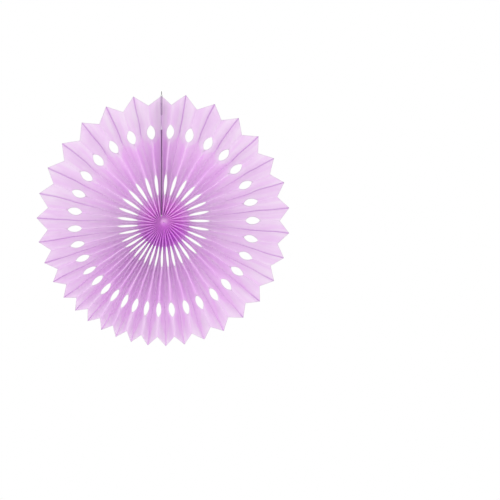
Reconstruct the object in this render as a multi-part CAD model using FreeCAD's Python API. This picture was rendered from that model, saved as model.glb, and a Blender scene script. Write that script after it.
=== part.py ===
# Hanging paper fan rosette. One long tissue strip is pleated, die-cut and opened through a
# full turn about its gathered inner edge. Its two end panels stand face to face in the back
# fold at 12 o'clock, stiffened by a card each and joined by clear tape. A thread loop through
# the joint carries it, and the fan hangs in the XZ plane with its front towards -Y.
import FreeCAD, Part
import math
import os

# The pleated strip
PLEATS = 34                  # back folds in the full turn, the joint counted as one
TIP_RADIUS = 202.0           # hub to the pointed tips, on the back folds
NOTCH_RADIUS = 183.3         # hub to the notches, on the front folds
TIP_LIFT = 3.8               # the circle of the tips sits this far above the hub
NOTCH_LIFT = 2.0             # and everything on the front folds this far
LIFT_TURN = -20.0            # degrees clockwise from 12 o'clock, the way in which they sit off
RIM_DEPTH = 14.0             # front folds to back folds at the rim, where it is open widest
TISSUE = 0.3                 # thickness of the folded sheet as modelled
PINHOLE_RADIUS = 1.2         # hole left in the middle by the gathered inner edge

# How the pleats share the turn: they hang closer at the lower left than at the top
FIRST_FOLD = 0.7             # degrees, start of the even spacing
BUNCHING = 13.3              # degrees by which they gather towards the bottom
BUNCHING_TURN = 19.4         # degrees, where that starts
UNEVENNESS = 2.5             # degrees of a second, shorter wave
UNEVENNESS_TURN = -52.7      # degrees, where that starts
CROWDING = 1.6               # degrees by which the first pleats hang back towards the joint
CROWDING_TURN = 8.0          # degrees past the joint, where they hang back most

# Die-cut openings, half of each in either panel beside a front fold
HOLE_RADIUS = 140.7          # hub to the middle of an oval hole
HOLE_LENGTH = 22.5
HOLE_DEPTH = 10.8            # fold to the deepest point, along the flat panel
SLIT_RADIUS = 57.0           # hub to the middle of a slit
SLIT_LENGTH = 32.0
SLIT_DEPTH = 8.8
CUT_FULLNESS = 0.75          # 0.5 is an ellipse, 1 a sharp-ended lens
CUT_CORNERS = 8              # along each side

# The joint at 12 o'clock
JOINT_SIDE = -3.9            # mid-plane of the joint, beside the hub
JOINT_TIP_TRIM = 4.0         # its tip stops this far short of the others
CARD = 0.8                   # thickness of an end card
CARD_START = 10.0            # hub to where the end panels have opened round the cards
CARD_END = 146.0             # hub to where they begin to close in again
CARD_INSET = 0.5             # edges of a card inside all that
TAPE = 0.2                   # thickness of the double-sided tape
TAPE_WIDTH = 10.0
TAPE_START = 12.0            # hub to the inner end of the tape
TAPE_SHORT = 12.0            # outer end of the tape below the tip of the joint
TAPE_BACK = 6.0              # back edge of the tape behind the middle of the fan
OPENING = 2.0                # length over which the end panels open below the cards
CLOSING = 8.0                # length over which they close in above them
HUB_GAP = 0.1                # between the end panels from the pinhole to the opening

# Threads
THREAD = 0.5                 # diameter
THREAD_SIDES = 8             # flat sides of a thread, and of its hole
THREAD_CLEARANCE = 0.2       # round a thread in its hole
LOOP_BELOW = 32.0            # hole of the hanging thread below the tip of the joint
LOOP_RISE = 6.0              # top of the loop above that tip
GATHER_RADIUS = 2.3          # ring of the thread that gathers the inner edge

FOLDS = 2 * PLEATS           # even numbers are back folds, odd ones front folds
CARD_FACE = CARD + TAPE / 2  # joint's mid-plane to the outside of a card
OPENS = CARD_START - OPENING
CLOSED = CARD_END + CLOSING
X, Y, Z = FreeCAD.Vector(1, 0, 0), FreeCAD.Vector(0, 1, 0), FreeCAD.Vector(0, 0, 1)


def sine(degrees):
    return math.sin(math.radians(degrees))


def plan(radius, angle, depth):
    """Point at a radius and clockwise angle seen from the front, depth towards the viewer."""
    return FreeCAD.Vector(radius * sine(angle), -depth, radius * sine(90 - angle))


def even_angle(fold):
    """Angle of a fold away from the joint."""
    turn = 360 * fold / FOLDS
    wave = BUNCHING * sine(turn - BUNCHING_TURN)
    shorter_wave = UNEVENNESS * sine(2 * (turn - UNEVENNESS_TURN))
    past = turn / CROWDING_TURN
    return FIRST_FOLD + turn + wave + shorter_wave - CROWDING * past * math.exp(1 - past)


def joint_angle(side, radius):
    """Angle of the first back fold, side 1, or the last, side -1, on its face of the joint."""
    if radius <= OPENS:
        centre = math.degrees(math.asin(JOINT_SIDE / OPENS))
        return centre + side * math.degrees(math.asin((HUB_GAP / 2 + TISSUE) / radius))
    face = CARD_FACE if radius <= CARD_END else TAPE / 2
    return math.degrees(math.asin((JOINT_SIDE + side * (face + TISSUE)) / radius))


def fold_angle(fold, radius):
    """Angle of a fold at a radius: near the joint it follows the joint's flat faces."""
    side = 1 if fold < PLEATS else -1
    share = sine(90 - 180 * fold / FOLDS) ** 2
    return even_angle(fold) + share * (joint_angle(side, radius) - even_angle(0))


def lift(amount, fold):
    """How much further out a fold reaches when its circle sits off the hub."""
    return amount * sine(90 - even_angle(fold) + LIFT_TURN)


def end_radius(fold):
    """Hub to the outer end of a fold."""
    if fold % 2:
        return NOTCH_RADIUS + lift(NOTCH_LIFT, fold)
    trim = JOINT_TIP_TRIM if fold in (0, FOLDS) else 0
    return TIP_RADIUS + lift(TIP_LIFT, fold) - trim


def chord(fold, radius):
    """Straight distance in plan from a fold to the next, at a radius."""
    before, after = max(fold - 1, 0), min(fold + 1, FOLDS)
    turn = (fold_angle(after, radius) - fold_angle(before, radius)) / (after - before)
    return 2 * radius * sine(turn / 2)


WIDEST = max(chord(fold, TIP_RADIUS) for fold in range(FOLDS + 1))
PANEL_WIDTH = math.hypot(WIDEST, RIM_DEPTH)  # fold to fold across a flat panel


def depths(fold, radius):
    """Front and back of the sheet at a fold. A panel keeps its width, so the pleat is as deep
    as the chord leaves it, and full depth at the joint, where the end panels stand upright.
    The sheet keeps its thickness too, so steep panels fill the hub."""
    across = chord(fold, radius)
    leaning = 0 if fold in (0, FOLDS) else across
    height = math.sqrt(PANEL_WIDTH ** 2 - leaning ** 2) + TISSUE
    line = TISSUE ** 2 * height
    rest = TISSUE ** 2 * (across ** 2 + height ** 2)
    root = math.sqrt(line ** 2 + (across ** 2 - TISSUE ** 2) * rest)
    through = rest / (line + root)
    if fold % 2:
        return height / 2, height / 2 - through
    return through - height / 2, -height / 2


def front_depth(fold, radius):
    return depths(fold, radius)[0]


def back_depth(fold, radius):
    return depths(fold, radius)[1]


def free_edge_depth(fold, radius):
    """Front edge of an end panel, which stands at its full width."""
    return back_depth(fold, radius) + PANEL_WIDTH


def run(fold, end, depth, side=0):
    """Points along a fold from the pinhole to the rim, with one at each corner of the joint.
    A side takes them through the sheet, to the inside of an end panel."""
    card = CARD_END - CARD_START
    radii = [PINHOLE_RADIUS, OPENS] + [CARD_START + card * share for share in (0, 0.25, 0.6, 1)]
    radii += [CLOSED, (CLOSED + end) / 2, end]
    inward = FreeCAD.Vector(-side * TISSUE, 0, 0)
    return [plan(r, fold_angle(fold, r), depth(fold, r)) + inward for r in radii]


def end_panel_runs(fold, side):
    """Runs round an end panel: inside at its back, valley and front edge, then outside."""
    tip, notch = end_radius(fold), end_radius(fold + side)
    return [run(fold, tip, back_depth, side), run(fold, tip, front_depth, side),
            run(fold, notch, free_edge_depth, side), run(fold, notch, free_edge_depth)]


def facet(*corners):
    return Part.Face(Part.makePolygon(corners + corners[:1]))


def strip(one, other):
    """Flat facets between two runs, in pairs that bend with the paper."""
    faces = []
    for a, b, c, d in zip(one, one[1:], other, other[1:]):
        faces += [facet(a, d, c), facet(a, b, d)]
    return faces


def cap(*runs):
    """Facets that close the sheet at the pinhole and at the rim, between runs in order."""
    return [facet(*(r[end] for r in runs)) for end in (0, -1)]


def folded_sheet():
    """The pleated strip with its end panels, before it is die-cut."""
    fronts = [run(f, end_radius(f), front_depth) for f in range(FOLDS + 1)]
    backs = [run(f, end_radius(f), back_depth) for f in range(FOLDS + 1)]
    faces = []
    for valley in range(0, FOLDS + 1, 2):
        for ridge in (valley - 1, valley + 1):
            if 0 < ridge < FOLDS:
                faces += strip(fronts[valley], fronts[ridge])
                faces += strip(backs[valley], backs[ridge])
                faces += cap(fronts[valley], fronts[ridge], backs[ridge], backs[valley])
    for f, side in ((0, 1), (FOLDS, -1)):
        back, valley, edge, outer_edge = end_panel_runs(f, side)
        faces += strip(back, valley) + strip(valley, edge) + strip(edge, outer_edge)
        faces += strip(outer_edge, fronts[f]) + strip(backs[f], back)
        faces += cap(valley, edge, outer_edge, fronts[f])
        faces += cap(back, valley, fronts[f], backs[f])
    sheet = Part.Compound(faces)
    sheet.sewShape()
    return Part.Solid(sheet.Shells[0])


def cut_outline(length):
    """Corners along one side of a cut, closer at its ends, with the share of its depth at
    each. The blunt ends cross the fold squarely."""
    for corner in range(CUT_CORNERS):
        along = -sine(90 - 180 * (corner + 0.5) / CUT_CORNERS)
        yield along * length / 2, (1 - along ** 2) ** CUT_FULLNESS


def prism(side, other_side, along):
    """Solid between the two sides of a cut, pushed along a vector."""
    return facet(*side, *other_side[::-1]).extrude(along)


def fold_cut(fold, radius, length, depth):
    """Cutter for one opening on a front fold, half of it in either panel."""
    sides = ([], [])
    for shift, share in cut_outline(length):
        r = radius + lift(NOTCH_LIFT, fold) + shift
        reach = depth * share * chord(fold, r) / PANEL_WIDTH
        for points, way in zip(sides, (1, -1)):
            angle = fold_angle(fold, r) + way * math.degrees(reach / r)
            points.append(plan(r, angle, PANEL_WIDTH))
    return prism(*sides, FreeCAD.Vector(0, 2 * PANEL_WIDTH, 0))


def end_cut(radius, length, depth):
    """Cutter for the half openings in the free edges of both end panels."""
    sides = ([], [])
    for shift, share in cut_outline(length):
        r = radius + lift(NOTCH_LIFT, 1) + shift
        edge = free_edge_depth(0, r)
        for points, way in zip(sides, (1, -1)):
            points.append(FreeCAD.Vector(-PANEL_WIDTH, way * depth * share - edge, r))
    return prism(*sides, FreeCAD.Vector(2 * PANEL_WIDTH, 0, 0))


def thread_section(radius, middle, along, across):
    """Flat-sided outline of a thread or its hole, between two directions."""
    turns = [360 * (side + 0.5) / THREAD_SIDES for side in range(THREAD_SIDES)]
    corners = [middle + along * radius * sine(90 - t) + across * radius * sine(t) for t in turns]
    return Part.makePolygon(corners + corners[:1])


def gather_ring(radius):
    """Ring of thread, or its tunnel, through every pleat beside the pinhole."""
    middle = FreeCAD.Vector(GATHER_RADIUS, 0, 0)
    section = Part.Face(thread_section(radius, middle, X, Y))
    return section.revolve(FreeCAD.Vector(), Y, 360)


def thread_hole():
    """Cutter for the hole that carries the hanging thread."""
    start = FreeCAD.Vector(JOINT_SIDE - PANEL_WIDTH, LOOP_BACK, LOOP_START)
    section = Part.Face(thread_section(THREAD / 2 + THREAD_CLEARANCE, start, Y, Z))
    return section.extrude(X * 2 * PANEL_WIDTH)


def pleated_tissue():
    cutters = []
    for fold in range(1, FOLDS, 2):
        cutters.append(fold_cut(fold, HOLE_RADIUS, HOLE_LENGTH, HOLE_DEPTH))
        cutters.append(fold_cut(fold, SLIT_RADIUS, SLIT_LENGTH, SLIT_DEPTH))
    cutters.append(end_cut(HOLE_RADIUS, HOLE_LENGTH, HOLE_DEPTH))
    cutters.append(end_cut(SLIT_RADIUS, SLIT_LENGTH, SLIT_DEPTH))
    cutters += [thread_hole(), gather_ring(THREAD / 2 + THREAD_CLEARANCE)]
    return folded_sheet().cut(cutters)


def end_card(side):
    """Plain strip of card against the inside of an end panel."""
    x = JOINT_SIDE + side * TAPE / 2 + min(side, 0) * CARD
    start, end = CARD_START + CARD_INSET, CARD_END - CARD_INSET
    corner = FreeCAD.Vector(x, CARD_INSET - PANEL_WIDTH / 2, start)
    return Part.makeBox(CARD, PANEL_WIDTH - 2 * CARD_INSET, end - start, corner)


def joint_tape():
    """Double-sided tape between the cards and, above them, between the end panels."""
    corner = FreeCAD.Vector(JOINT_SIDE - TAPE / 2, TAPE_BACK - TAPE_WIDTH, TAPE_START)
    strip = Part.makeBox(TAPE, TAPE_WIDTH, end_radius(0) - TAPE_SHORT - TAPE_START, corner)
    return strip.cut(thread_hole())


def hanging_loop():
    """Thread loop that straddles the joint, pulled straight by the fan's weight."""
    reach = TAPE / 2 + TISSUE + THREAD_CLEARANCE + THREAD / 2
    low, high = LOOP_START + reach, LOOP_TOP - THREAD / 2 - reach
    left, right = JOINT_SIDE - reach, JOINT_SIDE + reach

    def at(x, z):
        return FreeCAD.Vector(x, LOOP_BACK, z)

    route = Part.Wire([
        Part.makeLine(at(left, low), at(left, high)),
        Part.Arc(at(left, high), at(JOINT_SIDE, high + reach), at(right, high)).toShape(),
        Part.makeLine(at(right, high), at(right, low)),
        Part.Arc(at(right, low), at(JOINT_SIDE, low - reach), at(left, low)).toShape()])
    section = thread_section(THREAD / 2, at(left, low), X, Y)
    return route.makePipeShell([section], True, False)


LOOP_BACK = TAPE_BACK - TAPE_WIDTH / 2       # the loop runs up the middle of the tape
LOOP_START = end_radius(0) - LOOP_BELOW
LOOP_TOP = end_radius(0) + LOOP_RISE
HANG_POINT = FreeCAD.Vector(JOINT_SIDE, LOOP_BACK, LOOP_TOP - THREAD)

os.makedirs("parts", exist_ok=True)
pieces = {
    "pleated_tissue": pleated_tissue(),
    "end_card_left": end_card(-1),
    "end_card_right": end_card(1),
    "joint_tape": joint_tape(),
    "hanging_loop": hanging_loop(),
    "gathering_thread": gather_ring(THREAD / 2),
}
for name, shape in pieces.items():
    shape.translate(-HANG_POINT)
    shape.exportStep(f"parts/{name}.step")
    print(name, shape.ShapeType, len(shape.Solids), "solids", round(shape.Volume, 2), "mm3")
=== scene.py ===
import bpy
import numpy as np
from bpy.props import FloatProperty, FloatVectorProperty, IntProperty, PointerProperty
from bpy.utils import register_class, unregister_class
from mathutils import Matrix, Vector


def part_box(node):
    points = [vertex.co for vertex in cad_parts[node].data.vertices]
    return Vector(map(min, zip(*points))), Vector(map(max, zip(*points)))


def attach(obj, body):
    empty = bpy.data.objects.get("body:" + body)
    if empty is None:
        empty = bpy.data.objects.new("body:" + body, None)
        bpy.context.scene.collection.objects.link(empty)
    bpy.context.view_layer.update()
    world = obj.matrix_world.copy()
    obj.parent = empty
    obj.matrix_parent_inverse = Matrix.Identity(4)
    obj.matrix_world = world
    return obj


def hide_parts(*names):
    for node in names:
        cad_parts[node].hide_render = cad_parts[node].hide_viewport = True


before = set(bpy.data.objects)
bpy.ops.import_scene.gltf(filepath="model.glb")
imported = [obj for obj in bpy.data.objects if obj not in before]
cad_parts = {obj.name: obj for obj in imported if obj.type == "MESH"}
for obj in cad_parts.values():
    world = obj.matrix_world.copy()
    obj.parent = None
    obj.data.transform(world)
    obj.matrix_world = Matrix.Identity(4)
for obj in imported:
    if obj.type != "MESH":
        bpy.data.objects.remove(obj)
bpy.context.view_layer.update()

bl_info = {
    "name": "Paper Fan Rosette",
    "version": (1, 0, 0),
    "blender": (4, 5, 0),
    "location": "View3D > Sidebar > Rosette",
    "description": "Pleated, die-cut tissue rosette on its hanging thread",
    "category": "Add Mesh",
}

# The gathering thread rings the hub, and the middle of the joint carries the tape.
HUB = sum(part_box("gathering_thread"), Vector()) / 2
JOINT_SIDE = sum(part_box("joint_tape"), Vector()).x / 2 - HUB.x


# Sizes and colours. Lengths are in metres.

def length(name, description, default):
    return FloatProperty(name=name, description=description, default=default, unit="LENGTH")


def degrees(name, description, default):
    return FloatProperty(name=name, description=description + ", in degrees", default=default)


def fraction(name, description, default):
    return FloatProperty(
        name=name, description=description, default=default, min=0, max=1, subtype="FACTOR")


def colour(name, description, default):
    return FloatVectorProperty(
        name=name, description=description, default=default, size=4, min=0, max=1,
        subtype="COLOR")


class PleatSettings(bpy.types.PropertyGroup):
    pleats: IntProperty(name="Pleats", description="Back folds in the full turn", default=34, min=8)
    tip_radius: length("Tip radius", "Hub to the pointed tips on the back folds", 0.2020)
    notch_radius: length("Notch radius", "Hub to the notches on the front folds", 0.1833)
    tip_lift: length("Tip lift", "How far the circle of the tips sits off the hub", 0.0038)
    notch_lift: length("Notch lift", "How far everything on the front folds sits off it", 0.0020)
    lift_turn: degrees("Lift turn", "Way in which they sit off, clockwise from the top", -20)
    rim_depth: length("Rim depth", "Front folds to back folds at the widest pleat", 0.0140)
    pinhole: length("Pinhole", "Radius of the hole in the middle", 0.0012)
    thickness: length("Thickness", "Thickness of the tissue", 0.0001)
    first_fold: degrees("First fold", "Start of the even spacing", 0.7)
    bunching: degrees("Bunching", "How far the pleats gather towards the bottom", 13.3)
    bunching_turn: degrees("Bunching turn", "Where that starts", 19.4)
    unevenness: degrees("Unevenness", "A second, shorter wave of the spacing", 2.5)
    unevenness_turn: degrees("Unevenness turn", "Where that starts", -52.7)
    crowding: degrees("Crowding", "How far the first pleats hang back to the joint", 1.6)
    crowding_turn: degrees("Crowding turn", "Where they hang back most", 8.0)
    crest: length("Crest", "Half the width of the rounded front folds", 0.0008)
    waist: length("Waist", "Radius of the pinhole where the thread draws it in", 0.0002)
    wander: length("Wander", "How far a fold strays from its straight line", 0.0010)
    buckle: length("Buckle", "How far a panel stands off its straight lines", 0.0005)


class CutSettings(bpy.types.PropertyGroup):
    hole_radius: length("Hole radius", "Hub to the middle of an oval hole", 0.1407)
    hole_length: length("Hole length", "Along the fold", 0.0225)
    hole_depth: length("Hole depth", "Fold to the deepest point, along the paper", 0.0108)
    slit_radius: length("Slit radius", "Hub to the middle of a slit", 0.0570)
    slit_length: length("Slit length", "Along the fold", 0.0320)
    slit_depth: length("Slit depth", "Fold to the deepest point, along the paper", 0.0088)
    fullness: FloatProperty(
        name="Fullness", description="0.5 is an ellipse and 1 a sharp-ended lens", default=0.75)


class JointSettings(bpy.types.PropertyGroup):
    tip_trim: length("Tip trim", "How far its tip stops short of the others", 0.0040)
    card: length("Card", "Thickness of an end card", 0.0008)
    tape: length("Tape", "Thickness of the double-sided tape", 0.0002)
    card_start: length("Card start", "Hub to the inner end of the cards", 0.0105)
    card_end: length("Card end", "Hub to their outer end", 0.1460)
    opening: length("Opening", "Length over which the end panels open below them", 0.0006)
    closing: length("Closing", "Length over which the end panels close in above them", 0.0080)
    thread: length("Thread", "Thickness of the hanging thread", 0.0005)
    loop_rise: length("Loop rise", "How far the loop stands above the joint's tip", 0.0060)
    loop_taper: length("Loop taper", "Length over which its strands come together there", 0.0015)


class ColourSettings(bpy.types.PropertyGroup):
    # Lilac is the tissue's lit tone, used where the painted light mask is full.
    lilac: colour("Lilac", "Tissue at the rim, where it lies open", (0.946, 0.892, 0.954, 1))
    # Inner lilac is painted shade: the same tissue darkened in the petals between the ridges.
    inner: colour("Inner lilac", "Tissue between the cuts", (0.952, 0.825, 0.964, 1))
    # Deep lilac is painted shade: darker, more saturated tissue round the hub, where little light
    # reaches the crowded folds.
    deep: colour("Deep lilac", "Tissue crowded round the hub", (1.000, 0.490, 1.000, 1))
    # Light lilac is painted shade too, lighter in the gathered middle whose crests face the light.
    core: colour("Light lilac", "Tissue gathered in the middle", (1.000, 0.640, 1.000, 1))
    card: colour("Card", "Broad faces of the end cards", (0.780, 0.520, 0.820, 1))
    # Card edge is painted shade: the dark gap between the two cards, put on their front edges.
    card_edge_shade: colour("Card edge", "Their dark edges", (0.170, 0.070, 0.190, 1))
    tape: colour("Tape", "Clear tape over lilac", (0.860, 0.740, 0.890, 1))
    thread: colour("Thread", "Grey hanging thread", (0.025, 0.022, 0.028, 1))
    gather: colour("Gathering thread", "Lilac cotton", (0.200, 0.060, 0.220, 1))
    floor: colour("Floor", "Pale studio floor", (0.860, 0.850, 0.860, 1))


class StudioSettings(bpy.types.PropertyGroup):
    distance: length("Distance", "Camera to the hub", 1.8)
    frame_width: length("Frame width", "What the frame spans at the hub", 0.7935)
    shift_x: fraction("Shift sideways", "Hub left of the frame's middle, in frame widths", 0.172)
    shift_y: fraction("Shift upwards", "Hub above the frame's middle, in frame widths", 0.056)
    ambient: FloatProperty(name="Ambient", description="Strength of the even light", default=1.0)
    side_light: FloatProperty(name="Side lights", description="Power of each", default=1.5)


# Arithmetic of the folds. Folds are counted clockwise from the joint: even ones are back
# folds, odd ones front folds. Angles are in degrees, clockwise from 12 o'clock.

TISSUE_FACE = 0.0001         # mid-plane of the joint to the mid-plane of a bare end panel


def sine(angle):
    return np.sin(np.radians(angle))


def arcsine(ratio):
    return np.degrees(np.arcsin(ratio))


def fold_count(pleats):
    return 2 * pleats.pleats


def even_angle(pleats, fold):
    """Even turn, plus one slow wave that bunches the pleats and one quicker wave, less a
    crowding that rises past the joint and dies away."""
    turn = 360 * fold / fold_count(pleats)
    wave = pleats.bunching * sine(turn - pleats.bunching_turn)
    shorter_wave = pleats.unevenness * sine(2 * (turn - pleats.unevenness_turn))
    past = turn / pleats.crowding_turn
    return (pleats.first_fold + turn + wave + shorter_wave
            - pleats.crowding * past * np.exp(1 - past))


def joint_angle(joint, side, radius):
    """Angle at which a line parallel to the joint's mid-plane crosses a radius. The line lies
    against the tape, and one card further out between the cards' ends."""
    spread = np.clip((radius - joint.card_start + joint.opening) / joint.opening, 0, 1)
    closed = np.clip((radius - joint.card_end) / joint.closing, 0, 1)
    face = joint.card * spread * (1 - closed) + joint.tape / 2 * spread
    inner = joint.card_start - joint.opening
    centre = arcsine(JOINT_SIDE / np.maximum(radius, inner))
    return centre + side * arcsine((face + TISSUE_FACE) / np.maximum(radius, TISSUE_FACE))


def fold_angle(pleats, joint, fold, radius):
    """Even angle, drawn towards the joint's flat face by the squared cosine of the turn."""
    count = fold_count(pleats)
    side = np.where(fold < count / 2, 1, -1)
    pull = sine(90 - 180 * fold / count) ** 2
    return even_angle(pleats, fold) + pull * (
        joint_angle(joint, side, radius) - even_angle(pleats, 0))


def lift(pleats, amount, fold):
    """Reach gained where the circle sits off the hub: the cosine of the angle to that way."""
    return amount * sine(90 - even_angle(pleats, fold) + pleats.lift_turn)


def end_radius(pleats, joint, fold):
    """Notch radius on the front folds and tip radius on the back folds, each lifted."""
    count = fold_count(pleats)
    notch = pleats.notch_radius + lift(pleats, pleats.notch_lift, fold)
    trim = np.where((fold == 0) | (fold == count), joint.tip_trim, 0)
    tip = pleats.tip_radius + lift(pleats, pleats.tip_lift, fold) - trim
    return np.where(fold % 2 == 1, notch, tip)


def chord(pleats, joint, fold, radius):
    """Straight distance in plan to the next fold: twice the radius times the sine of half
    the turn between the neighbours' middles."""
    before = np.maximum(fold - 1, 0)
    after = np.minimum(fold + 1, fold_count(pleats))
    turn = (fold_angle(pleats, joint, after, radius)
            - fold_angle(pleats, joint, before, radius)) / (after - before)
    return 2 * radius * sine(turn / 2)


def panel_width(pleats, joint):
    """Widest chord at the tips and the rim's depth, as the sides of a right angle."""
    folds = np.arange(fold_count(pleats) + 1)
    return np.hypot(chord(pleats, joint, folds, pleats.tip_radius).max(), pleats.rim_depth)


def fold_depth(pleats, joint, fold, radius):
    """Half of the height that the constant panel width leaves over the chord, forwards on
    front folds. The joint keeps its full height."""
    at_joint = (fold == 0) | (fold == fold_count(pleats))
    leaning = np.where(at_joint, 0, chord(pleats, joint, fold, radius))
    height = np.sqrt(panel_width(pleats, joint) ** 2 - leaning ** 2)
    return np.where(fold % 2 == 1, height, -height) / 2


def place(radius, angle, depth):
    """Points of the row frame, at a radius and angle round the hub and a depth towards the
    viewer: sine and cosine of the angle in XZ, and the depth along -Y."""
    return np.stack([HUB.x + radius * sine(angle), HUB.y - depth,
                     HUB.z + radius * sine(90 - angle)], axis=-1)


# The tissue's grid

# Cells along a fold from the hub to the rim, then across a panel and over its crest.
HUB_CELLS, INNER_CELLS, SLIT_CELLS, MIDDLE_CELLS, HOLE_CELLS, RIM_CELLS = 4, 8, 16, 12, 16, 9
ACROSS_CELLS, CREST_CELLS = 8, 2
EDGE = 0.0012                # width of the denser border of grid rows at the cut paper's edge, and of its painted edge shade
WELD = 1e-7                  # distance within which points are one
WANDER_LENGTH = 0.110        # length along a fold of the longest wave of its wander
BUCKLE_LENGTH = 0.090        # and of a panel's buckling
BUCKLE_LEAN = 0.35           # how far that wave leans across the panel, in wavelengths
WAVE_PACES = (1, 1.9, 3.1)   # the longest wave's length over that of each wave
FREE_RADIUS = 0.080          # radius from which folds and panels stray in full
HUB_LENGTH = 0.0015          # how far out of the pinhole its waist is felt
CREST_SPAN, CREST_CORE = 0.45, 0.40    # widest crest over the fold's span, and more at the hub
CORE_RADIUS = 0.007          # radius within which the crests widen
CREST_AT_SIDES = 0.3         # crest of the level folds over that of the upright ones
SIDES_RADIUS = 0.030         # radius from which they narrow, fully at twice that
END_CREST = 0.02             # share of an end panel's width that its finer columns take


def stations(pleats, cuts, joint, fold):
    """Radii of the grid's rows on a fold. One pair marks the start of the cards. Rows stand
    closer at the ends of each cut, by half a cosine wave, and follow the cut where it is
    lifted off its circle. Outside the holes they spread evenly to a last pair, at the fold's
    own end."""
    raised = lift(pleats, pleats.notch_lift, fold)

    def even(start, end, cells):
        return start + (end - start) * np.arange(cells) / cells

    def across(middle, span, cells):
        return middle + raised - span / 2 * np.cos(np.pi * np.arange(cells) / cells)

    slit_start = cuts.slit_radius - cuts.slit_length / 2 + raised
    slit_end = cuts.slit_radius + cuts.slit_length / 2 + raised
    hole_start = cuts.hole_radius - cuts.hole_length / 2 + raised
    hole_end = cuts.hole_radius + cuts.hole_length / 2 + raised
    end = end_radius(pleats, joint, fold)
    return np.concatenate([
        even(pleats.pinhole, joint.card_start - joint.opening, HUB_CELLS),
        [joint.card_start - joint.opening],
        even(joint.card_start, slit_start, INNER_CELLS),
        across(cuts.slit_radius, cuts.slit_length, SLIT_CELLS),
        even(slit_end, hole_start, MIDDLE_CELLS),
        across(cuts.hole_radius, cuts.hole_length, HOLE_CELLS),
        even(hole_end, end - EDGE, RIM_CELLS), [end - EDGE, end]])


def both_cuts(cuts):
    """Middle, length and depth of the hole and of the slit."""
    return ((cuts.hole_radius, cuts.hole_length, cuts.hole_depth),
            (cuts.slit_radius, cuts.slit_length, cuts.slit_depth))


def cut_share(cuts, width, lifted, radius):
    """Share of the panel's width that a cut takes off beside a front fold: full depth at the
    middle of the cut, falling to nothing at its ends."""
    gone = np.zeros_like(radius)
    for middle, span, deep in both_cuts(cuts):
        along = np.clip((radius - middle - lifted) / (span / 2), -1, 1)
        gone = gone + deep / width * (1 - along ** 2) ** cuts.fullness
    return gone


def waves(steps, rows, seed):
    """Sum of three sine waves along the steps, one row each, at random phases and paces."""
    draw = np.random.default_rng(seed)
    shape = (rows,) + (1,) * (np.ndim(steps) - 1)
    total = 0
    for pace in WAVE_PACES:
        phase = draw.uniform(0, 2 * np.pi, shape)
        total = total + np.sin(2 * np.pi * pace * steps + phase) / pace
    return total / 2


def fold_lines(pleats, cuts, joint):
    """Points along every fold, as folds by stations by XYZ, with their radii. Every fold but
    the joint's strays from its straight line by a few waves, which start past the hub."""
    folds = np.arange(fold_count(pleats) + 1)
    radii = np.array([stations(pleats, cuts, joint, fold) for fold in folds])
    fold = folds[:, None] + 0 * radii
    free = np.where((fold == 0) | (fold == folds[-1]), 0, np.clip(radii / FREE_RADIUS, 0, 1))
    stray = pleats.wander * free * waves(radii / WANDER_LENGTH, len(folds), 7)
    rise = pleats.wander * free * waves(radii / WANDER_LENGTH, len(folds), 8)
    angle = fold_angle(pleats, joint, fold, radii) + np.degrees(stray / radii)
    return place(radii, angle, fold_depth(pleats, joint, fold, radii) + rise), radii


def paper_shares(crest_share, kept):
    """Columns across a panel from back fold to front fold, as shares of the paper's width:
    even up to the crest and a few over it, all squeezed where a cut leaves less paper."""
    even = np.linspace(0, 1, ACROSS_CELLS + 1)
    over = np.arange(1, CREST_CELLS + 1) / CREST_CELLS
    flat = (1 - crest_share)[..., None] * even
    crest = 1 - crest_share[..., None] * (1 - over)
    return kept[..., None] * np.concatenate([flat, crest], axis=-1)


def bent_panel(back, front, share, crest, crest_share):
    """Points of a panel. Up to the crest they lie on straight lines. Over it a parabola
    levels out on the front fold, from a slope of one at most."""
    rise = (back - front)[..., 1][..., None]
    span = np.linalg.norm((back - front)[..., ::2], axis=-1)[..., None]
    crest, crest_share = crest[..., None], crest_share[..., None]
    drop = crest * np.minimum(rise / span, 1) / 2
    over = np.clip((1 - share) / crest_share, 0, 1)
    flat = np.clip(share / (1 - crest_share), 0, 1)
    across = np.where(over < 1, 1 - crest / span * over, flat * (1 - crest / span))
    height = np.where(over < 1, 1 - drop / rise * over ** 2, flat * (1 - drop / rise))
    points = back[..., None, :] + (front - back)[..., None, :] * across[..., None]
    points[..., 1] = back[..., 1][..., None] - rise * height
    return points


def border_share(kept, share, width):
    """1 on the edge of the cut paper, falling to nothing over the border's width: painted shade
    along the cut edges and the rim.
    """
    past = (kept[..., None] - share) * width
    border = np.where(kept[..., None] < 1, np.clip(1 - past / EDGE, 0, 1), 0)
    border[:, -1] = 1
    return border


def normals(back, front):
    """Unit vectors square to the panels between two fold lines."""
    along = np.gradient(back, axis=1)
    square = np.cross(along, front - back)
    return square / np.linalg.norm(square, axis=-1)[..., None]


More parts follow.
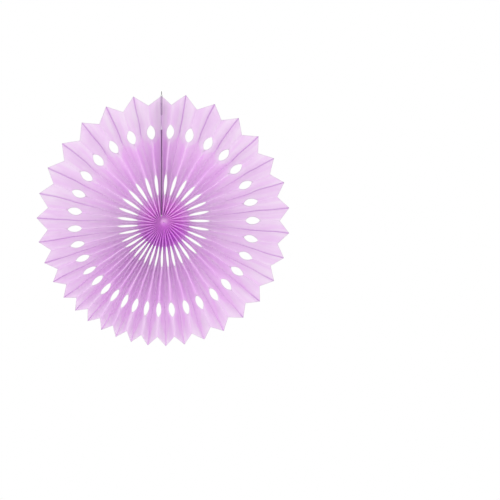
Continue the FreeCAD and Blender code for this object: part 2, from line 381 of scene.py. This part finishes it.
def tissue_grid(pleats, cuts, joint):
    """Points of every panel, as panels by stations by columns by XYZ, from back fold to front
    fold and stopped short of it where a cut is. Also each point's share of that way, its
    radius, its nearness to a cut edge and its place on the crest, which is 0 on the front
    fold and 1 off the crest. Panels buckle by a few waves that die away at the folds, and are
    drawn in round the pinhole, most at half their depth."""
    lines, radii = fold_lines(pleats, cuts, joint)
    panel = np.arange(fold_count(pleats))
    ridge = np.where(panel % 2 == 0, panel + 1, panel)
    valley = np.where(panel % 2 == 0, panel, panel + 1)
    width = panel_width(pleats, joint)
    lifted = lift(pleats, pleats.notch_lift, ridge)[:, None]
    kept = 1 - cut_share(cuts, width, lifted, radii[ridge])
    span = np.linalg.norm((lines[valley] - lines[ridge])[..., ::2], axis=-1)
    widest = CREST_SPAN + CREST_CORE * np.exp(-(radii[ridge] / CORE_RADIUS) ** 2)
    level = sine(even_angle(pleats, ridge))[:, None] ** 2
    sharper = (1 - CREST_AT_SIDES) * level * np.clip(radii[ridge] / SIDES_RADIUS - 1, 0, 1)
    crest = np.minimum(pleats.crest * (1 - sharper), widest * span)
    crest_share = crest / width
    share = paper_shares(crest_share, kept)
    points = bent_panel(lines[valley], lines[ridge], share, crest, crest_share)
    radius = radii[valley][:, :, None] * (1 - share) + radii[ridge][:, :, None] * share
    between = 4 * share * (1 - share)
    steps = radius / BUCKLE_LENGTH + BUCKLE_LEAN * share
    free = np.clip(radius / FREE_RADIUS, 0, 1)
    points += (pleats.buckle * between * free * waves(steps, len(panel), 9))[..., None] * normals(
        lines[valley], lines[ridge])[:, :, None]
    hub = np.array(HUB)
    pinch = (pleats.pinhole - pleats.waist) * between * np.exp(
        (pleats.pinhole - radius) / HUB_LENGTH)
    points[..., ::2] -= (pinch / radius)[..., None] * (points - hub)[..., ::2]
    crest_place = np.clip((1 - share) / crest_share[..., None], 0, 1)
    return points, share, radius, border_share(kept, share, width), crest_place


def end_panel_grid(pleats, cuts, joint):
    """Points of the two end panels, which stand upright from the back fold of the joint at
    their full width, and the same values as for the others. They have no crest."""
    lines, radii = fold_lines(pleats, cuts, joint)
    folds = np.array([0, fold_count(pleats)])
    notch = np.array([1, fold_count(pleats) - 1])
    width = panel_width(pleats, joint)
    back, ends = lines[folds], radii[notch]
    fold = folds[:, None] + 0 * ends
    angle = fold_angle(pleats, joint, fold, ends)
    front = place(ends, angle, fold_depth(pleats, joint, fold, ends) + width)
    kept = 1 - cut_share(cuts, width, lift(pleats, pleats.notch_lift, notch)[:, None], ends)
    share = paper_shares(np.full_like(kept, END_CREST), kept)
    points = back[:, :, None] * (1 - share[..., None]) + front[:, :, None] * share[..., None]
    radius = radii[folds][:, :, None] * (1 - share) + ends[:, :, None] * share
    return points, share, radius, border_share(kept, share, width), np.ones_like(share)


def grid_quads(shape, flipped):
    """Corner numbers of the cells of several grids stored one after another. Flipped grids
    take their corners the other way round."""
    grids, rows, columns = shape
    number = np.arange(grids * rows * columns).reshape(shape)
    quads = np.stack([number[:, :-1, :-1], number[:, 1:, :-1],
                      number[:, 1:, 1:], number[:, :-1, 1:]], axis=-1)
    quads[flipped] = quads[flipped][..., ::-1]
    return quads.reshape(-1, 4)


def welded(points, quads, values):
    """Points that coincide made one, the quads that keep four corners, and the named values
    of the points that stay."""
    _, first, index = np.unique(
        np.round(points / WELD).astype(int), axis=0, return_index=True, return_inverse=True)
    quads = index.ravel()[quads]
    whole = np.array([len(set(quad)) == 4 for quad in quads.tolist()])
    return points[first], quads[whole], {name: values[name][first] for name in values}


# Where the tissue's tones and its painted light and shade lie

CREASE_SHARE = 0.10          # share of a panel that the painted shade line of a back fold takes
CREASE_SPAN = (0.060, 0.150)           # radii between which it rises
DEEP_SPAN = (0.008, 0.050)   # radii between which the deep painted shade gives way to the inner tone
CORE_SPAN = (0.002, 0.009)   # radii between which the lighter painted shade of the middle gives way to the deep one
BUNCHED_SPAN = (0.022, 0.060)          # radii between which the painted shade of the crowded pleats fades
FURROW_START, FURROW_END = (0.003, 0.007), (0.012, 0.024)    # and the radii where the furrows' painted shade rises and fades
FURROW_LIGHT = 0.75          # how much weaker the furrows' painted shade is on the right
# The painted light mask: painted light from these radii outwards and round the cuts, painted shade
# in the petals inside them.
OPEN_FRONT, OPEN_BACK = (0.116, 0.120), (0.143, 0.205)       # radii at the top and bottom where the painted light starts
OPEN_EDGE = 0.0025           # length over which the inner tone's painted shade gives way to the rim's painted light
OPEN_INSIDE = (0.40, 0.45)   # how far the painted light returns towards the hub at the top and bottom
OPEN_RETURN = 0.055          # and over what length
CUT_BORDER = 1.3             # how much larger than a cut its border of painted light is
CUT_FADE = 0.1               # share of a panel over which that border fades
STRAIGHT_HUB, STRAIGHT_JOINT = 0.92, 0.95    # light that goes straight through the paper
STRAIGHT_SPAN = (0.010, 0.080)               # radii between which the hub's gives way to none


def bunched(turned):
    """How far the pleats crowd at an angle: nothing at the top and 1 at the bottom."""
    return ((1 - sine(90 - turned)) / 2) ** 2


def furrow_shade_at(turned):
    """How dark the painted shade in the furrows round the hub is at an angle: full at the top,
    less on the right, where they lie open to the light, and nothing at the bottom."""
    return (1 - bunched(turned)) * (1 - FURROW_LIGHT * np.maximum(sine(turned), 0))


def painted_light(cuts, pleats, radius, share, turned):
    """Painted light and shade, from 0 for painted shade in the inner tone to 1 for painted
    light in the rim's tone. The light starts from a radius that is smaller on the front fold
    than on the back fold, by half a sine wave on its side, and smaller at the top than at the
    bottom. Inside that radius it drops at once and rises a little towards the hub. It is
    painted light round the cuts, in half an ellipse, and all along the level pleats, by the fourth
    power of the sine."""
    low = bunched(turned)
    on_front, on_back, back_again = [
        top * (1 - low) + bottom * low for top, bottom in (OPEN_FRONT, OPEN_BACK, OPEN_INSIDE)]
    start = on_back + (on_front - on_back) * (0.5 + arcsine(2 * share - 1) / 180)
    outside = np.clip((radius - start) / OPEN_EDGE + 0.5, 0, 1)
    inside = back_again * np.clip((start - radius) / OPEN_RETURN, 0, 1)
    borders = []
    for middle, span, deep in both_cuts(cuts):
        along = np.clip((radius - middle) / (CUT_BORDER * span / 2), -1, 1)
        border = CUT_BORDER * deep / pleats.rim_depth / 2 * np.sqrt(1 - along ** 2)
        borders.append(np.clip((share - 1 + border) / CUT_FADE, 0, 1))
    return np.maximum.reduce([outside + inside, *borders, sine(turned) ** 4])


def straight_share(radius):
    """Share of the light that goes straight through: the hub's, falling to nothing by a
    cosine wave where the folds spread, and the joint's in the two end panels, stored last."""
    start, end = STRAIGHT_SPAN
    spread = np.clip((radius - start) / (end - start), 0, 1)
    straight = STRAIGHT_HUB * (1 + np.cos(np.pi * spread)) / 2
    straight[-2:] = STRAIGHT_JOINT
    return straight


def tissue_values(pleats, cuts, points, share, radius, border, crest_place):
    """What the tissue's material reads at each point of the grid, by name."""
    turned = np.degrees(np.arctan2(points[..., 0] - HUB.x, points[..., 2] - HUB.z))
    return {
        "fold_share": share,
        "radius": radius,
        "fold_place": np.arange(len(share))[:, None, None] + share,
        "straight": straight_share(radius),
        "painted_light": painted_light(cuts, pleats, radius, share, turned),
        "bunched": bunched(turned),
        "border": border,
        "furrow_shade": crest_place * furrow_shade_at(turned),
    }


# The hanging loop's grid

LOOP_ROWS, LOOP_SIDES = 80, 10         # cells along each strand and round its section
LOOP_TOUCH = 1.04            # half the distance between the joined strands, in their radii


def loop_grid(joint, low, high):
    """Points of the hanging loop, as rows by section by XYZ. One strand runs up and the other
    down, by half a cosine wave. They stand a fixed gap apart, which narrows to the thread's
    own width above the tip, and meet in round ends."""
    middle, radius = (low + high) / 2, joint.thread / 2
    wide = (high - low).x / 2 - radius
    bottom, top = low.z + radius, high.z - radius
    rows = (1 - np.cos(np.pi * np.arange(LOOP_ROWS) / LOOP_ROWS)) / 2
    height = bottom + (top - bottom) * np.concatenate([rows, 1 - rows])
    past = np.clip((height - high.z + joint.loop_rise) / joint.loop_taper, 0, 1)
    gap = wide + (LOOP_TOUCH * radius - wide) * past ** 2 * (3 - 2 * past)
    end = np.clip(np.minimum(height - bottom, top - height) / gap, 0, 1)
    side = np.repeat([1, -1], LOOP_ROWS)
    route = np.stack([side * gap * np.sqrt(1 - (1 - end) ** 2), 0 * height, height], axis=-1)
    along = np.roll(route, -1, axis=0) - np.roll(route, 1, axis=0)
    outwards = np.cross([0, 1, 0], along / np.linalg.norm(along, axis=-1)[:, None])
    turn = 360 * np.arange(LOOP_SIDES) / LOOP_SIDES
    section = (sine(90 - turn)[:, None] * outwards[:, None]
               + sine(turn)[:, None] * np.array([0, 1, 0]))
    return route[:, None] + radius * section + [middle.x, middle.y, 0]


def ring_quads(rows, sides):
    """Corner numbers of a grid that closes on itself both ways."""
    row, side = np.meshgrid(np.arange(rows), np.arange(sides), indexing="ij")
    next_row, next_side = (row + 1) % rows, (side + 1) % sides
    corners = [row * sides + side, row * sides + next_side,
               next_row * sides + next_side, next_row * sides + side]
    return np.stack(corners, axis=-1).reshape(-1, 4)


# Meshes, nodes and materials

SHARP_TURN = 30              # degrees between faces from which their edge is sharp
COCKLE_SHARE = 0.7           # share of the paper's relief that the cockle makes
WHITE = (1, 1, 1, 1)
COCKLE_TONES = (0.99, 0.93, 0.99, 1), WHITE
FOLD_TONES = {               # what multiplies the colour where a mask is 0 and where it is 1; all but Streak are painted shade
    "Streak": ((0.98, 0.91, 0.99, 1), WHITE),
    # Painted shade in the back folds
    "CreaseShade": (WHITE, (0.86, 0.74, 0.90, 1)),
    # Painted shade of the crowded pleats at the bottom, near the hub
    "BunchedShade": (WHITE, (0.92, 0.60, 0.97, 1)),
    # Painted shade in the furrows between the crests round the hub
    "FurrowShade": (WHITE, (0.80, 0.45, 0.84, 1)),
    # Painted shade along the cut edges and the rim
    "BorderShade": (WHITE, (0.82, 0.84, 0.82, 1)),
}
STREAKS_ACROSS, STREAKS_ALONG = 2.6, 14      # cells of their noise to a panel and to a metre
STREAK_RANGE = (0.3, 0.7)    # noise between which a streak fades
GLOW_HUB, GLOW_SPREAD = 0.35, 0.75     # share of the scattered light that glows through
TINT = 0.4                   # share of the paper's colour that straight light takes on
DARKER = 0.85                # darkest tone of a plain material over its colour
EDGE_DEPTH = 0.0005          # how far in the painted shade on a card's front edge reaches


def new_piece(name, points, faces, material, replaced):
    """A smooth mesh that rides the body and stands in for the replaced nodes."""
    mesh = bpy.data.meshes.new(name)
    mesh.from_pydata(points, [], faces)
    mesh.update()
    piece = bpy.data.objects.new(name, mesh)
    bpy.context.scene.collection.objects.link(piece)
    mesh.materials.append(material)
    mesh.shade_smooth()
    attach(piece, "root")
    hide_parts(*replaced)
    return piece


def point_values(mesh, name, values):
    """Gives each point of a mesh a number for its material to read."""
    mesh.attributes.new(name, "FLOAT", "POINT").data.foreach_set("value", values)


def sharp_folds(mesh):
    """Marks the edges where the sheet turns sharply, and its border."""
    mesh.set_sharp_from_angle(angle=np.radians(SHARP_TURN))
    used = np.empty(len(mesh.loops), int)
    mesh.loops.foreach_get("edge_index", used)
    sharp = np.empty(len(mesh.edges), bool)
    marks = mesh.attributes["sharp_edge"].data
    marks.foreach_get("value", sharp)
    marks.foreach_set("value", sharp | (np.bincount(used, minlength=len(mesh.edges)) == 1))


def shader(name):
    """A new material, its nodes, its links and its main node."""
    material = bpy.data.materials.new(name)
    material.use_nodes = True
    nodes = material.node_tree.nodes
    return material, nodes, material.node_tree.links, nodes["Principled BSDF"]


def fibre_group():
    """Node group: fine paper fibres and a broader, softer cockle from Object coordinates."""
    group = bpy.data.node_groups.new("Paper Fibres", "ShaderNodeTree")
    for name, default in (("Fibre Scale", 900), ("Cockle Scale", 45)):
        socket = group.interface.new_socket(name, in_out="INPUT", socket_type="NodeSocketFloat")
        socket.default_value = default
    group.interface.new_socket("Tone", in_out="OUTPUT", socket_type="NodeSocketFloat")
    group.interface.new_socket("Height", in_out="OUTPUT", socket_type="NodeSocketFloat")
    nodes, links = group.nodes, group.links
    inputs, outputs = nodes.new("NodeGroupInput"), nodes.new("NodeGroupOutput")
    place_node = nodes.new("ShaderNodeTexCoord")
    heights = []
    for name, detail in (("Fibre Scale", 4), ("Cockle Scale", 3)):
        noise = nodes.new("ShaderNodeTexNoise")
        noise.inputs["Detail"].default_value = detail
        links.new(place_node.outputs["Object"], noise.inputs["Vector"])
        links.new(inputs.outputs[name], noise.inputs["Scale"])
        heights.append(noise.outputs["Fac"])
    blend = nodes.new("ShaderNodeMix")
    blend.data_type = "FLOAT"
    blend.inputs[0].default_value = COCKLE_SHARE
    links.new(heights[0], blend.inputs[2])
    links.new(heights[1], blend.inputs[3])
    links.new(blend.outputs[0], outputs.inputs["Height"])
    links.new(heights[1], outputs.inputs["Tone"])
    return group


def fibres(material, fibre, cockle):
    """The shared node group of paper fibres, at scales of the material's own."""
    node = material.node_tree.nodes.new("ShaderNodeGroup")
    node.node_tree = bpy.data.node_groups.get("Paper Fibres") or fibre_group()
    node.inputs["Fibre Scale"].default_value = fibre
    node.inputs["Cockle Scale"].default_value = cockle
    return node


def bumped(material, height, distance):
    """Normals of a relief that is a distance high."""
    bump = material.node_tree.nodes.new("ShaderNodeBump")
    bump.inputs["Distance"].default_value = distance
    bump.inputs["Strength"].default_value = 1
    material.node_tree.links.new(height, bump.inputs["Height"])
    return bump.outputs["Normal"]


def toned(material, mask, dark, light):
    """Colour that runs from dark to light with a mask. Each of the two is a colour or a
    socket."""
    mix = material.node_tree.nodes.new("ShaderNodeMix")
    mix.data_type = "RGBA"
    material.node_tree.links.new(mask, mix.inputs[0])
    for number, end in ((6, dark), (7, light)):
        if isinstance(end, bpy.types.NodeSocket):
            material.node_tree.links.new(end, mix.inputs[number])
        else:
            mix.inputs[number].default_value = end
    return mix.outputs[2]


def multiplied(material, first, second):
    """Product of two colours."""
    mix = material.node_tree.nodes.new("ShaderNodeMix")
    mix.data_type, mix.blend_type = "RGBA", "MULTIPLY"
    mix.inputs[0].default_value = 1
    material.node_tree.links.new(first, mix.inputs[6])
    material.node_tree.links.new(second, mix.inputs[7])
    return mix.outputs[2]


def attribute(tree, name):
    """The mesh's own values of a name."""
    node = tree.nodes.new("ShaderNodeAttribute")
    node.attribute_name = name
    return node.outputs["Fac"]


def ramp(tree, value, low, high, start=0, end=1):
    """Runs from start to end in a smooth step while the value goes from low to high."""
    node = tree.nodes.new("ShaderNodeMapRange")
    node.interpolation_type = "SMOOTHSTEP"
    tree.links.new(value, node.inputs["Value"])
    for name, number in (("From Min", low), ("From Max", high),
                         ("To Min", start), ("To Max", end)):
        node.inputs[name].default_value = number
    return node.outputs["Result"]


def times(tree, first, second):
    """Product of a socket and a socket or a number."""
    node = tree.nodes.new("ShaderNodeMath")
    node.operation = "MULTIPLY"
    tree.links.new(first, node.inputs[0])
    if isinstance(second, bpy.types.NodeSocket):
        tree.links.new(second, node.inputs[1])
    else:
        node.inputs[1].default_value = second
    return node.outputs[0]


def tissue_group():
    """Node group: the tissue's masks, most of them painted shade. Streak runs along the folds,
    Crease is painted shade in the back folds outside the hub, Spread rises from the hub outwards
    out of the deep painted shade, Core marks the lighter painted shade of the gathered middle,
    Bunched the painted shade of the crowded pleats inside the holes, Furrow the painted shade
    between the crests round the hub and Border painted shade along the cut edges."""
    group = bpy.data.node_groups.new("Folded Tissue", "ShaderNodeTree")
    for name in (*FOLD_TONES, "Spread", "Core"):
        group.interface.new_socket(name, in_out="OUTPUT", socket_type="NodeSocketFloat")
    nodes, links = group.nodes, group.links
    outputs = nodes.new("NodeGroupOutput")
    radius, share_across = attribute(group, "radius"), attribute(group, "fold_share")
    lengthwise = nodes.new("ShaderNodeCombineXYZ")
    links.new(times(group, attribute(group, "fold_place"), STREAKS_ACROSS),
              lengthwise.inputs["X"])
    links.new(times(group, radius, STREAKS_ALONG), lengthwise.inputs["Y"])
    streak = nodes.new("ShaderNodeTexNoise")
    streak.inputs["Scale"].default_value = 1
    streak.inputs["Detail"].default_value = 3
    links.new(lengthwise.outputs[0], streak.inputs["Vector"])
    back_fold = ramp(group, share_across, 0, CREASE_SHARE, 1, 0)
    outside = times(group, attribute(group, "painted_light"), ramp(group, radius, *CREASE_SPAN))
    crowded = ramp(group, radius, *BUNCHED_SPAN, 1, 0)
    round_hub = times(group, ramp(group, radius, *FURROW_START),
                      ramp(group, radius, *FURROW_END, 1, 0))
    for name, mask in (
            ("Streak", ramp(group, streak.outputs["Fac"], *STREAK_RANGE)),
            ("CreaseShade", times(group, back_fold, outside)),
            ("Spread", ramp(group, radius, *DEEP_SPAN)),
            ("Core", ramp(group, radius, *CORE_SPAN, 1, 0)),
            ("BunchedShade", times(group, attribute(group, "bunched"), crowded)),
            ("BorderShade", attribute(group, "border")),
            ("FurrowShade", times(group, attribute(group, "furrow_shade"), round_hub))):
        links.new(mask, outputs.inputs[name])
    return group


def tissue_tone(material, paper, folded, colours):
    """The tissue's colour, painted light and shade in most of it: the core's, the deep one, the
    inner one and the rim's from the hub outwards, multiplied by the tones of each mask, all of them
    painted shade but the streaks and the cockle."""
    # The painted light mask picks the lit rim tone or the inner tone in painted shade.
    painted_light_mask = attribute(material.node_tree, "painted_light")
    tone = toned(material, painted_light_mask, colours.inner, colours.lilac)
    # Painted shade round the hub: deep, and lighter again in the middle.
    tone = toned(material, folded.outputs["Spread"], colours.deep, tone)
    tone = toned(material, folded.outputs["Core"], tone, colours.core)
    tone = multiplied(material, tone, toned(material, paper.outputs["Tone"], *COCKLE_TONES))
    for name, tones in FOLD_TONES.items():
        tone = multiplied(material, tone, toned(material, folded.outputs[name], *tones))
    return tone


def mixed_shader(tree, first, second, mask=None):
    """Shader that runs from the first to the second with a mask, or is half of each."""
    mix = tree.nodes.new("ShaderNodeMixShader")
    if mask is not None:
        tree.links.new(mask, mix.inputs[0])
    tree.links.new(first, mix.inputs[1])
    tree.links.new(second, mix.inputs[2])
    return mix.outputs[0]


def tissue_material(colours):
    """Three quarters of the scattered light glows through the open paper, and less through
    the crowded folds round the hub. Where the attribute straight says so, light goes straight
    through instead."""
    material, nodes, links, principled = shader("lilac_tissue")
    paper = fibres(material, fibre=900, cockle=45)
    normal = bumped(material, paper.outputs["Height"], distance=0.0003)
    folded = nodes.new("ShaderNodeGroup")
    folded.node_tree = tissue_group()
    tone = tissue_tone(material, paper, folded, colours)
    principled.inputs["Roughness"].default_value = 0.85
    principled.inputs["Specular IOR Level"].default_value = 0.15
    links.new(tone, principled.inputs["Base Color"])
    links.new(normal, principled.inputs["Normal"])
    glow = nodes.new("ShaderNodeBsdfTranslucent")
    links.new(tone, glow.inputs["Color"])
    links.new(normal, glow.inputs["Normal"])
    through = nodes.new("ShaderNodeMapRange")
    through.inputs["To Min"].default_value = GLOW_HUB
    through.inputs["To Max"].default_value = GLOW_SPREAD
    links.new(folded.outputs["Spread"], through.inputs["Value"])
    tree = material.node_tree
    scattered = mixed_shader(
        tree, principled.outputs[0], glow.outputs[0], through.outputs["Result"])
    surface = mixed_shader(tree, scattered, straight_light(tree, tone), straight_part(tree))
    links.new(surface, nodes["Material Output"].inputs["Surface"])
    return material


def straight_part(tree):
    """The attribute straight, and nothing for what a camera sees directly."""
    path = tree.nodes.new("ShaderNodeLightPath")
    unseen = tree.nodes.new("ShaderNodeMath")
    unseen.operation = "SUBTRACT"
    unseen.inputs[0].default_value = 1
    tree.links.new(path.outputs["Is Camera Ray"], unseen.inputs[1])
    return times(tree, attribute(tree, "straight"), unseen.outputs[0])


def straight_light(tree, tone):
    """Light that crosses the paper unbent, half of it as a clear film and half as a
    refraction. Each face tints it a little."""
    nodes, links = tree.nodes, tree.links
    tint = nodes.new("ShaderNodeMix")
    tint.data_type = "RGBA"
    tint.inputs[0].default_value = TINT
    tint.inputs[6].default_value = WHITE
    links.new(tone, tint.inputs[7])
    clear = nodes.new("ShaderNodeBsdfTransparent")
    links.new(tint.outputs[2], clear.inputs["Color"])
    unbent = nodes.new("ShaderNodeBsdfRefraction")
    unbent.inputs["IOR"].default_value = 1
    unbent.inputs["Roughness"].default_value = 0
    links.new(tint.outputs[2], unbent.inputs["Color"])
    return mixed_shader(tree, clear.outputs[0], unbent.outputs[0])


def plain_material(name, tone, fibre, cockle, roughness, distance):
    """A colour that darkens a little with the cockle, on a relief a distance high."""
    material, _, links, principled = shader(name)
    surface = fibres(material, fibre, cockle)
    principled.inputs["Roughness"].default_value = roughness
    darker = [part * DARKER for part in tone[:3]] + [1]
    links.new(toned(material, surface.outputs["Tone"], darker, tone),
              principled.inputs["Base Color"])
    links.new(bumped(material, surface.outputs["Height"], distance), principled.inputs["Normal"])
    return material


def shade_front_edge(material, tone, front_y):
    """Paints the front edge dark, by Object Y: painted shade of the gap between the cards."""
    nodes, links = material.node_tree.nodes, material.node_tree.links
    where = nodes.new("ShaderNodeSeparateXYZ")
    links.new(nodes.new("ShaderNodeTexCoord").outputs["Object"], where.inputs[0])
    front = nodes.new("ShaderNodeMath")
    front.operation = "LESS_THAN"
    front.inputs[1].default_value = front_y + EDGE_DEPTH
    links.new(where.outputs["Y"], front.inputs[0])
    base = nodes["Principled BSDF"].inputs["Base Color"]
    broad = base.links[0].from_socket
    mix = nodes.new("ShaderNodeMix")
    mix.data_type = "RGBA"
    links.new(front.outputs[0], mix.inputs[0])
    links.new(broad, mix.inputs[6])
    mix.inputs[7].default_value = tone
    links.new(mix.outputs[2], base)


def dress(node, material):
    """Gives a CAD node its material."""
    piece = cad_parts[node]
    piece.data.materials.clear()
    piece.data.materials.append(material)


# Operators

SOFTBOX_PLACE = Vector((0.70, -0.22, 0))     # the right one's, from the hub
SOFTBOX_SIZE = (0.3, 0.9)
FLOOR_RADIUS, FLOOR_HEIGHT, FLOOR_CORNERS = 3, -1.6, 64


class ROSETTE_OT_tissue(bpy.types.Operator):
    """Fold and die-cut the tissue from joint to joint"""
    bl_idname = "rosette.tissue"
    bl_label = "Pleated Tissue"

    def execute(self, context):
        scene = context.scene
        pleats, cuts, joint = scene.rosette_pleats, scene.rosette_cuts, scene.rosette_joint
        points, *grids = [
            np.concatenate(both) for both in zip(tissue_grid(pleats, cuts, joint),
                                                 end_panel_grid(pleats, cuts, joint))]
        values = tissue_values(pleats, cuts, points, *grids)
        flipped = np.arange(len(points)) % 2 == 1
        flipped[-2:] = [True, False]
        points, quads, values = welded(
            points.reshape(-1, 3), grid_quads(points.shape[:3], flipped),
            {name: values[name].ravel() for name in values})
        sheet = new_piece("tissue_fan", points, quads,
                          tissue_material(scene.rosette_colours), ["pleated_tissue"])
        for name in values:
            point_values(sheet.data, name, values[name])
        sharp_folds(sheet.data)
        solid = sheet.modifiers.new("Thickness", "SOLIDIFY")
        solid.thickness = pleats.thickness
        solid.offset = 0
        return {"FINISHED"}


class ROSETTE_OT_cards(bpy.types.Operator):
    """Finish the two end cards of the joint"""
    bl_idname = "rosette.cards"
    bl_label = "End Cards"

    def execute(self, context):
        colours = context.scene.rosette_colours
        card = plain_material("dyed_card", colours.card,
                              fibre=1400, cockle=120, roughness=0.75, distance=0.0001)
        shade_front_edge(card, colours.card_edge_shade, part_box("end_card_left")[0].y)
        dress("end_card_left", card)
        dress("end_card_right", card)
        return {"FINISHED"}


class ROSETTE_OT_tape(bpy.types.Operator):
    """Finish the double-sided tape"""
    bl_idname = "rosette.tape"
    bl_label = "Joint Tape"

    def execute(self, context):
        tape = plain_material("clear_tape", context.scene.rosette_colours.tape,
                              fibre=500, cockle=80, roughness=0.35, distance=0.00005)
        principled = tape.node_tree.nodes["Principled BSDF"]
        principled.inputs["Transmission Weight"].default_value = 0.9
        dress("joint_tape", tape)
        return {"FINISHED"}


class ROSETTE_OT_threads(bpy.types.Operator):
    """Finish the hanging loop and the gathering thread"""
    bl_idname = "rosette.threads"
    bl_label = "Threads"

    def execute(self, context):
        colours = context.scene.rosette_colours
        grey = plain_material("grey_thread", colours.thread,
                              fibre=4000, cockle=900, roughness=0.6, distance=0.0001)
        points = loop_grid(context.scene.rosette_joint, *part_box("hanging_loop"))
        new_piece("thread_loop", points.reshape(-1, 3), ring_quads(*points.shape[:2]),
                  grey, ["hanging_loop"])
        lilac = plain_material("lilac_cotton", colours.gather,
                               fibre=4000, cockle=900, roughness=0.7, distance=0.0001)
        dress("gathering_thread", lilac)
        return {"FINISHED"}


def white_background(tree, lit, white):
    """Mixes in a plain white where a camera, glossy or transmission ray meets the shader."""
    path = tree.nodes.new("ShaderNodeLightPath")
    seen = path.outputs["Is Camera Ray"]
    for name in ("Is Glossy Ray", "Is Transmission Ray"):
        either = tree.nodes.new("ShaderNodeMath")
        either.operation = "MAXIMUM"
        tree.links.new(seen, either.inputs[0])
        tree.links.new(path.outputs[name], either.inputs[1])
        seen = either.outputs[0]
    return mixed_shader(tree, lit, white, seen)


def area_light(name, place_at, target, size, power):
    """A rectangular light turned to a target and hidden from the camera."""
    lamp = bpy.data.lights.new(name, "AREA")
    lamp.shape = "RECTANGLE"
    lamp.size, lamp.size_y = size
    lamp.energy = power
    light = bpy.data.objects.new(name, lamp)
    light.location = place_at
    light.rotation_euler = (target - place_at).to_track_quat("-Z", "Y").to_euler()
    light.visible_camera = False
    bpy.context.scene.collection.objects.link(light)
    return light


class ROSETTE_OT_stage(bpy.types.Operator):
    """Set up the floor, the light and the camera"""
    bl_idname = "rosette.stage"
    bl_label = "Stage"

    def execute(self, context):
        scene = context.scene
        studio = scene.rosette_studio
        scene.view_settings.view_transform = "Standard"
        self.floor(scene.rosette_colours)
        self.world(studio)
        for name, way in (("left_softbox", -1), ("right_softbox", 1)):
            place_at = HUB + SOFTBOX_PLACE * Vector((way, 1, 1))
            area_light(name, place_at, HUB, SOFTBOX_SIZE, studio.side_light)
        self.camera(studio)
        return {"FINISHED"}

    def floor(self, colours):
        """A disc far below the hanging rosette."""
        turn = 360 * np.arange(FLOOR_CORNERS) / FLOOR_CORNERS
        rim = np.stack([FLOOR_RADIUS * sine(90 - turn), FLOOR_RADIUS * sine(turn),
                        np.full(FLOOR_CORNERS, FLOOR_HEIGHT)], axis=-1)
        mesh = bpy.data.meshes.new("floor")
        mesh.from_pydata(rim, [], [list(range(FLOOR_CORNERS))])
        floor = bpy.data.objects.new("floor", mesh)
        bpy.context.scene.collection.objects.link(floor)
        material, _, _, principled = shader("pale_floor")
        principled.inputs["Base Color"].default_value = colours.floor
        principled.inputs["Roughness"].default_value = 0.9
        mesh.materials.append(material)

    def world(self, studio):
        """Even light, seen as plain white."""
        world = bpy.data.worlds.new("studio")
        world.use_nodes = True
        bpy.context.scene.world = world
        nodes = world.node_tree.nodes
        lit = nodes["Background"]
        lit.inputs["Color"].default_value = WHITE
        lit.inputs["Strength"].default_value = studio.ambient
        white = nodes.new("ShaderNodeBackground")
        white.inputs["Color"].default_value = WHITE
        seen_white = white_background(world.node_tree, lit.outputs[0], white.outputs[0])
        world.node_tree.links.new(seen_white, nodes["World Output"].inputs["Surface"])

    def camera(self, studio):
        """Looks straight at the front, with the hub off the middle of the frame."""
        camera = bpy.data.cameras.new("camera")
        camera.lens = camera.sensor_width * studio.distance / studio.frame_width
        camera.shift_x, camera.shift_y = studio.shift_x, -studio.shift_y
        viewer = bpy.data.objects.new("camera", camera)
        viewer.location = HUB + Vector((0, -studio.distance, 0))
        viewer.rotation_euler = (np.pi / 2, 0, 0)
        bpy.context.scene.collection.objects.link(viewer)
        bpy.context.scene.camera = viewer


class ROSETTE_PT_panel(bpy.types.Panel):
    bl_idname = "ROSETTE_PT_panel"
    bl_label = "Paper Fan Rosette"
    bl_space_type = "VIEW_3D"
    bl_region_type = "UI"
    bl_category = "Rosette"

    def draw(self, context):
        for name, group in SETTINGS.items():
            box = self.layout.box()
            box.label(text=group.bl_rna.name)
            for prop in group.__annotations__:
                box.prop(getattr(context.scene, name), prop)
        for operator in OPERATORS:
            self.layout.operator(operator.bl_idname)


SETTINGS = {
    "rosette_pleats": PleatSettings,
    "rosette_cuts": CutSettings,
    "rosette_joint": JointSettings,
    "rosette_colours": ColourSettings,
    "rosette_studio": StudioSettings,
}
OPERATORS = (ROSETTE_OT_tissue, ROSETTE_OT_cards, ROSETTE_OT_tape, ROSETTE_OT_threads,
             ROSETTE_OT_stage)


def register():
    for group in SETTINGS.values():
        register_class(group)
    for name, group in SETTINGS.items():
        setattr(bpy.types.Scene, name, PointerProperty(type=group))
    for operator in (*OPERATORS, ROSETTE_PT_panel):
        register_class(operator)


def unregister():
    for operator in (ROSETTE_PT_panel, *OPERATORS[::-1]):
        unregister_class(operator)
    for name, group in SETTINGS.items():
        delattr(bpy.types.Scene, name)
        unregister_class(group)


def main():
    register()
    bpy.ops.rosette.tissue()
    bpy.ops.rosette.cards()
    bpy.ops.rosette.tape()
    bpy.ops.rosette.threads()
    bpy.ops.rosette.stage()


if __name__ == "__main__":
    main()
